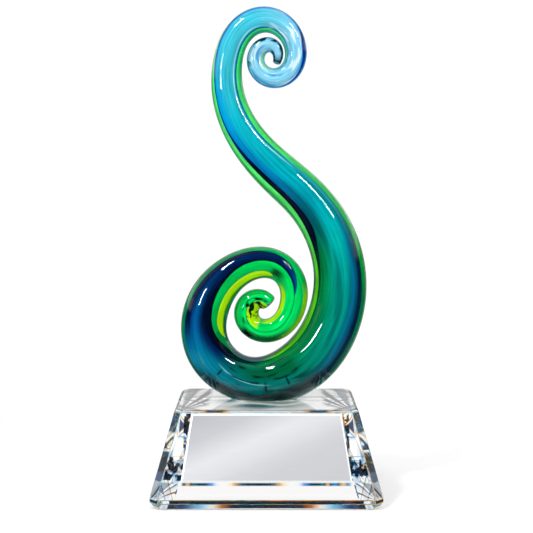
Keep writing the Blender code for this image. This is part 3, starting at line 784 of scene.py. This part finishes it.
# The cut corner itself, painted with reflections: two darker lengths, and a bent line between them.
on_cut = times(tree, band(tree, inward, 0.6, 0.1), front)
shadow = ramp(tree, scaled(tree, fine, 0.5, times(tree, coarse, 0.5)), (
    (0.38, (0, 8, 24)), (0.44, (4, 12, 14)), (0.475, (8, 14, 14)), (0.495, (170, 120, 30)),
    (0.515, (8, 14, 14)), (0.55, (4, 8, 12)), (0.575, (20, 90, 160)), (0.61, (2, 4, 8))))
shaded = larger(tree, band(tree, height, 43.5, 45.5), patch(22.0, 34.0, -9.0, 9.0, 2.0))
painted_reflections = dimmed(tree, painted_reflections, shadow, times(tree, shaded, on_cut))
bent = scaled(tree, math_node(tree, "POWER", across_cut, 1.6), 7.5, height)
bent = ramp(tree, scaled(tree, bent, 0.2, -7.9), (
    (0.0, WHITE), (0.15, (120, 190, 235)), (0.28, (4, 50, 110)), (0.42, (2, 4, 10)), (0.6, (4, 6, 10)),
    (0.72, (190, 120, 30)), (0.86, (250, 230, 190)), (1.0, WHITE)))
painted_reflections = dimmed(tree, painted_reflections, bent, on_cut)
# At its foot, painted reflections as slanting stripes.
slanting = scaled(tree, scaled(tree, across_cut, 9.0, height), 0.1, -0.8)
slanting = ramp(tree, slanting, (
    (0.0, WHITE), (0.16, (190, 220, 240)), (0.20, (4, 20, 44)), (0.25, (10, 14, 24)),
    (0.30, (230, 240, 250)), (0.42, (255, 246, 226)), (0.50, (110, 80, 36)), (0.54, (3, 6, 12)),
    (0.72, (10, 34, 60)), (0.76, (255, 226, 170)), (0.82, WHITE), (0.90, (40, 60, 80)), (0.96, WHITE)))
painted_reflections = dimmed(tree, painted_reflections, slanting, times(tree, on_cut, band(tree, level, 0.0066, 0.0070)))
# On the top face the painted facet reflections are twice as dark.
painted_reflections = dimmed(tree, painted_reflections, facet_reflections, times(tree, facet_reflection_mask, on_top))
# The ends of the upright foot, painted with reflections that are black on the cut corner and then olive.
heel = ramp(tree, scaled(tree, inward, 0.1, 0.1), (
    (0.10, (2, 4, 8)), (0.15, (4, 8, 12)), (0.19, (236, 200, 130)), (0.22, (120, 136, 110)),
    (0.40, (60, 80, 70)), (0.44, (236, 210, 150)), (0.48, WHITE)))
painted_reflections = dimmed(tree, painted_reflections, heel, times(tree, band(tree, level, 0.0064, 0.0060), front))
# Painted reflections as stripes on the ends of the top, which run back from its front corners.
from_corner = scaled(tree, sideways, -1.0, 0.0525)
spread = math_node(tree, "ARCTAN2", math_node(tree, "ADD", to_back, 0.033), from_corner)
stripes = ramp(tree, times(tree, spread, 0.5), (
    (0.30, WHITE), (0.40, (120, 132, 142)), (0.47, (70, 82, 96)), (0.485, WHITE), (0.51, WHITE),
    (0.525, (8, 14, 26)), (0.58, (4, 8, 18)), (0.595, (250, 244, 236)), (0.615, WHITE),
    (0.63, (6, 10, 20)), (0.67, (14, 20, 32)), (0.685, WHITE), (0.71, (236, 244, 250)),
    (0.73, (10, 16, 28)), (0.78, (90, 106, 120)), (0.80, WHITE)))
painted_reflections = dimmed(tree, painted_reflections, stripes, times(tree, on_top, band(tree, sideways, 0.034, 0.038)))
# A painted reflection of the scroll's foot: a faint coloured pool round it.
pool_x, pool_y = scaled(tree, to_right, 1 / 0.036, 0.05), scaled(tree, to_back, 1 / 0.030, 0.2)
ring = math_node(tree, "ADD", times(tree, pool_x, pool_x), times(tree, pool_y, pool_y))
ring = band(tree, math_node(tree, "SQRT", ring), 1.05, 0.55)
foot_reflection = ramp(tree, object_noise(tree, 1.0, detail=0.0, drawn=(30, 60, 1)), (
    (0.34, (4, 40, 52)), (0.44, (30, 84, 90)), (0.50, (150, 190, 184)), (0.54, (244, 250, 246)),
    (0.60, (120, 150, 130)), (0.70, (30, 76, 66))))
painted_reflections = mix(tree, times(tree, ring, on_top), painted_reflections, foot_reflection)
# A painted reflection: a broken dark line along the front edge of the top.
lip = times(tree, band(tree, level, 0.0560, 0.0566), band(tree, to_back, -0.0290, -0.0315))
broken = reach_ramp(sideways, (
    (0.0, WHITE), (22.0, WHITE), (24.5, (210, 150, 60)), (27.0, (6, 14, 24)), (30.0, (8, 10, 14)),
    (33.0, (0, 40, 80)), (36.0, (10, 14, 20)), (38.5, (200, 140, 60)), (41.0, WHITE)))
painted_reflections = dimmed(tree, painted_reflections, broken, lip)
tree.links.new(painted_reflections, shader.inputs["Base Color"])
crystal.data.materials.append(material)

# Painted dispersion: blue and orange fringes along the arrises, where the polished edges would split the
# light.
material, tree, shader = principled("crystal arris", Roughness=0.02, IOR=CRYSTAL_IOR,
                                    Transmission_Weight=1.0)
dispersion_fringe = ramp(tree, object_noise(tree, 45), (
    (0.30, (20, 70, 120)), (0.42, (120, 200, 235)), (0.5, (120, 124, 130)), (0.58, (226, 150, 60)),
    (0.7, (40, 42, 52))))
tree.links.new(dispersion_fringe, shader.inputs["Base Color"])
crystal.data.materials.append(material)
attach(crystal, "root")
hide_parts("crystal_base")

# Bonding resin. The real one is a film of clear resin, set by ultraviolet light between the
# ground foot of the scroll and the polished top of the base.

material, tree, shader = principled("bonding resin", IOR=GLASS_IOR, Transmission_Weight=1.0)
ripple = object_noise(tree, 300)
tree.links.new(mix(tree, ripple, linear((238, 246, 246)), linear(WHITE)), shader.inputs["Base Color"])
tree.links.new(times(tree, ripple, 0.04), shader.inputs["Roughness"])
recoat("foot_bond", material)

# Engraving plate. The real one is a thin silver-finished plate with a bright bevelled border,
# left bare, and stuck to the sloping front with double-sided mounting film.

# A painted reflection, a sheen that runs aslant over the plate: how far along the slant a place lies, plus
# the start, as a share of the span.
SHEEN_SLANT, SHEEN_START, SHEEN_SPAN = (6.88, 0.0, -15.83), 1.195, 1.3


def part_along(tree, vector, direction):
    """How far a vector goes along a direction, in lengths of the direction."""
    node = tree.nodes.new("ShaderNodeVectorMath")
    node.operation = "DOT_PRODUCT"
    node.inputs[1].default_value = direction
    tree.links.new(vector, node.inputs[0])
    return node.outputs["Value"]


material, tree, shader = principled("satin silver", Metallic=0.35)
painted_sheen = part_along(tree, tree.nodes.new("ShaderNodeTexCoord").outputs["Object"], SHEEN_SLANT)
painted_sheen = ramp(tree, math_node(tree, "ADD", painted_sheen, SHEEN_START), (
    (0.05, (180, 181, 186)), (0.34, (192, 193, 198)), (0.50, (207, 208, 212)), (0.64, (218, 219, 223)),
    (0.74, (216, 217, 221)), (0.86, (211, 212, 216)), (0.98, (203, 204, 208)),
    (1.14, (198, 199, 203))), SHEEN_SPAN)
grain = object_noise(tree, 1.0, detail=3.0, drawn=(60, 900, 900))
# The flat field faces straight out from the block's front, and the border doesn't.
run, rise = (BASE_DEPTH - TOP_DEPTH) / 2, BASE_HEIGHT - FOOT_HEIGHT
straight_out = (0.0, -rise / math.hypot(run, rise), run / math.hypot(run, rise))
normal = tree.nodes.new("ShaderNodeNewGeometry").outputs["True Normal"]
field = band(tree, part_along(tree, normal, straight_out), 0.975, 0.99)
colour = mix(tree, field, linear((250, 251, 252)), painted_sheen)
tree.links.new(dimmed(tree, colour, scaled(tree, grain, 0.06, 0.89)), shader.inputs["Base Color"])
tree.links.new(scaled(tree, grain, 0.16, 0.28), shader.inputs["Roughness"])
recoat("engraving_plate", material)

material, tree, shader = principled("mounting film", Roughness=0.5)
colour = mix(tree, object_noise(tree, 700), linear((208, 210, 214)), linear((236, 238, 240)))
tree.links.new(colour, shader.inputs["Base Color"])
recoat("plate_film", material)

# Studio. A pale floor, a white surround that holds the dark and coloured bands which the
# crystal bends into view, and three narrow lamps.

FLOOR_RADIUS, FLOOR_SIDES, FLOOR_DROP = 0.27, 96, 0.0002


def light_path(tree):
    """What kind of ray it is, and a mask that is 1 for one that was reflected and not let
    through. A ray let through glass counts as both."""
    path = tree.nodes.new("ShaderNodeLightPath").outputs
    return path, math_node(tree, "SUBTRACT", path["Is Glossy Ray"], path["Is Transmission Ray"])


turn = np.arange(FLOOR_SIDES) * 2 * math.pi / FLOOR_SIDES
corners = np.stack((np.cos(turn) * FLOOR_RADIUS, np.sin(turn) * FLOOR_RADIUS, turn * 0 - FLOOR_DROP), -1)
mesh = bpy.data.meshes.new("floor")
mesh.from_pydata(corners, (), [range(FLOOR_SIDES)])
floor = placed("floor", mesh)
material, tree, shader = principled("studio floor", Roughness=0.12, Specular_IOR_Level=0.12,
                                    Emission_Color=(1, 1, 1, 1))
path, mirrored = light_path(tree)
# The floor glows a little to the camera, more where it is seen through the glass, and is dark
# where it is mirrored.
glow = scaled(tree, path["Is Camera Ray"], 0.10, times(tree, path["Is Transmission Ray"], 0.34))
tree.links.new(glow, shader.inputs["Emission Strength"])
paint = mix(tree, mirrored, (0.66, 0.66, 0.66, 1), (0.04, 0.06, 0.06, 1))
tree.links.new(paint, shader.inputs["Base Color"])
floor.data.materials.append(material)

world = bpy.data.worlds.new("studio")
bpy.context.scene.world = world
world.use_nodes = True
tree = world.node_tree
path, mirrored = light_path(tree)
split = tree.nodes.new("ShaderNodeSeparateXYZ")
tree.links.new(tree.nodes.new("ShaderNodeTexCoord").outputs["Generated"], split.inputs[0])
to_right, to_back, rise = split.outputs
sideways, depthways = unsigned(tree, to_right), unsigned(tree, to_back)
# What is reflected: dark low down and in front, paler behind, and white at the height that the
# top of the block mirrors.
behind = mix(tree, band(tree, rise, 0.34, 0.27), (0.45, 0.5, 0.47, 1), (1, 1, 1, 1))
facing = times(tree, band(tree, to_back, -0.45, 0.15), band(tree, rise, 0.10, 0.18))
reflected = mix(tree, facing, (0.02, 0.04, 0.04, 1), behind)
# What is seen through the glass: white, with bands by height behind the four sides only, and
# flares by distance from the middle near the horizon.
BANDS = (
    (-0.40, WHITE), (-0.345, (120, 190, 240)), (-0.31, (20, 60, 120)), (-0.27, (14, 22, 40)),
    (0.215, (18, 24, 40)), (0.232, (190, 110, 40)), (0.242, (250, 214, 150)), (0.252, WHITE),
    (0.62, WHITE), (0.66, (150, 200, 235)), (0.70, (60, 72, 90)), (0.80, (60, 66, 80)),
    (0.84, (230, 180, 120)), (0.88, WHITE))
bands = ramp(tree, scaled(tree, rise, 0.5, 0.5), [(spot / 2 + 0.5, paint) for spot, paint in BANDS])
level_reach = math_node(tree, "SQRT", scaled(tree, rise, times(tree, rise, -1.0), 1.0001))
square = math_node(tree, "DIVIDE", larger(tree, sideways, depthways), level_reach)
through = mix(tree, band(tree, square, 0.93, 0.98), (1, 1, 1, 1), bands)
flare = ramp(tree, sideways, (
    (0.034, (14, 22, 40)), (0.043, (190, 110, 40)), (0.052, (250, 244, 230)), (0.062, (130, 200, 240)),
    (0.076, (20, 70, 120)), (0.092, (14, 22, 40)), (0.104, (14, 22, 40)), (0.116, (190, 214, 236))))
through = mix(tree, between(tree, rise, -0.10, -0.06, 0.06, 0.10), through, flare)
# Light that the pieces have scattered finds it brighter, and the camera sees plain white.
colour = mix(tree, mirrored, through, reflected)
colour = mix(tree, math_node(tree, "GREATER_THAN", path["Diffuse Depth"], 0.5), colour, (1.2, 1.2, 1.2, 1))
colour = mix(tree, path["Is Camera Ray"], colour, (1, 1, 1, 1))
tree.links.new(colour, tree.nodes["Background"].inputs["Color"])


def lamp(name, spot, target, size, power):
    """A rectangular lamp at a spot, turned to a target."""
    light = bpy.data.lights.new(name, "AREA")
    light.shape = "RECTANGLE"
    light.size, light.size_y = size
    light.energy = power
    item = placed(name, light)
    item.visible_transmission = False
    item.location = spot
    aim = np.subtract(target, spot)
    item.rotation_euler = (math.pi - math.acos(aim[2] / np.linalg.norm(aim)), 0,
                           math.atan2(-aim[0], aim[1]))


lamp("key", (0.9, -0.75, 0.95), (0, 0, 0.15), (0.08, 0.5), 6.5)
lamp("side", (-0.83, -0.85, 0.5), (0, 0, 0.2), (0.05, 0.3), 6)
lamp("top", (-0.6, -0.55, 1.15), (0, 0, 0.15), (0.12, 0.25), 8)

# The lens and the place are those of the camera fitted to the photograph's base.
SENSOR, PHOTO_WIDTH, FOCAL_PIXELS = 36, 533, 1025
CAMERA_PLACE, LOOKS_DOWN = (0, -0.65, 0.2018), 5.12
camera_data = bpy.data.cameras.new("camera")
camera_data.sensor_width = SENSOR
camera_data.lens = FOCAL_PIXELS / PHOTO_WIDTH * SENSOR
camera = placed("camera", camera_data)
camera.location = CAMERA_PLACE
camera.rotation_euler = (math.radians(90 - LOOKS_DOWN), 0, 0)
bpy.context.scene.camera = camera
bpy.context.scene.view_settings.view_transform = "Standard"
# Light is thrown about inside the cut block many times before it comes out.
BOUNCES = 32
paths = bpy.context.scene.cycles
paths.max_bounces = BOUNCES
paths.glossy_bounces = BOUNCES
paths.transmission_bounces = BOUNCES
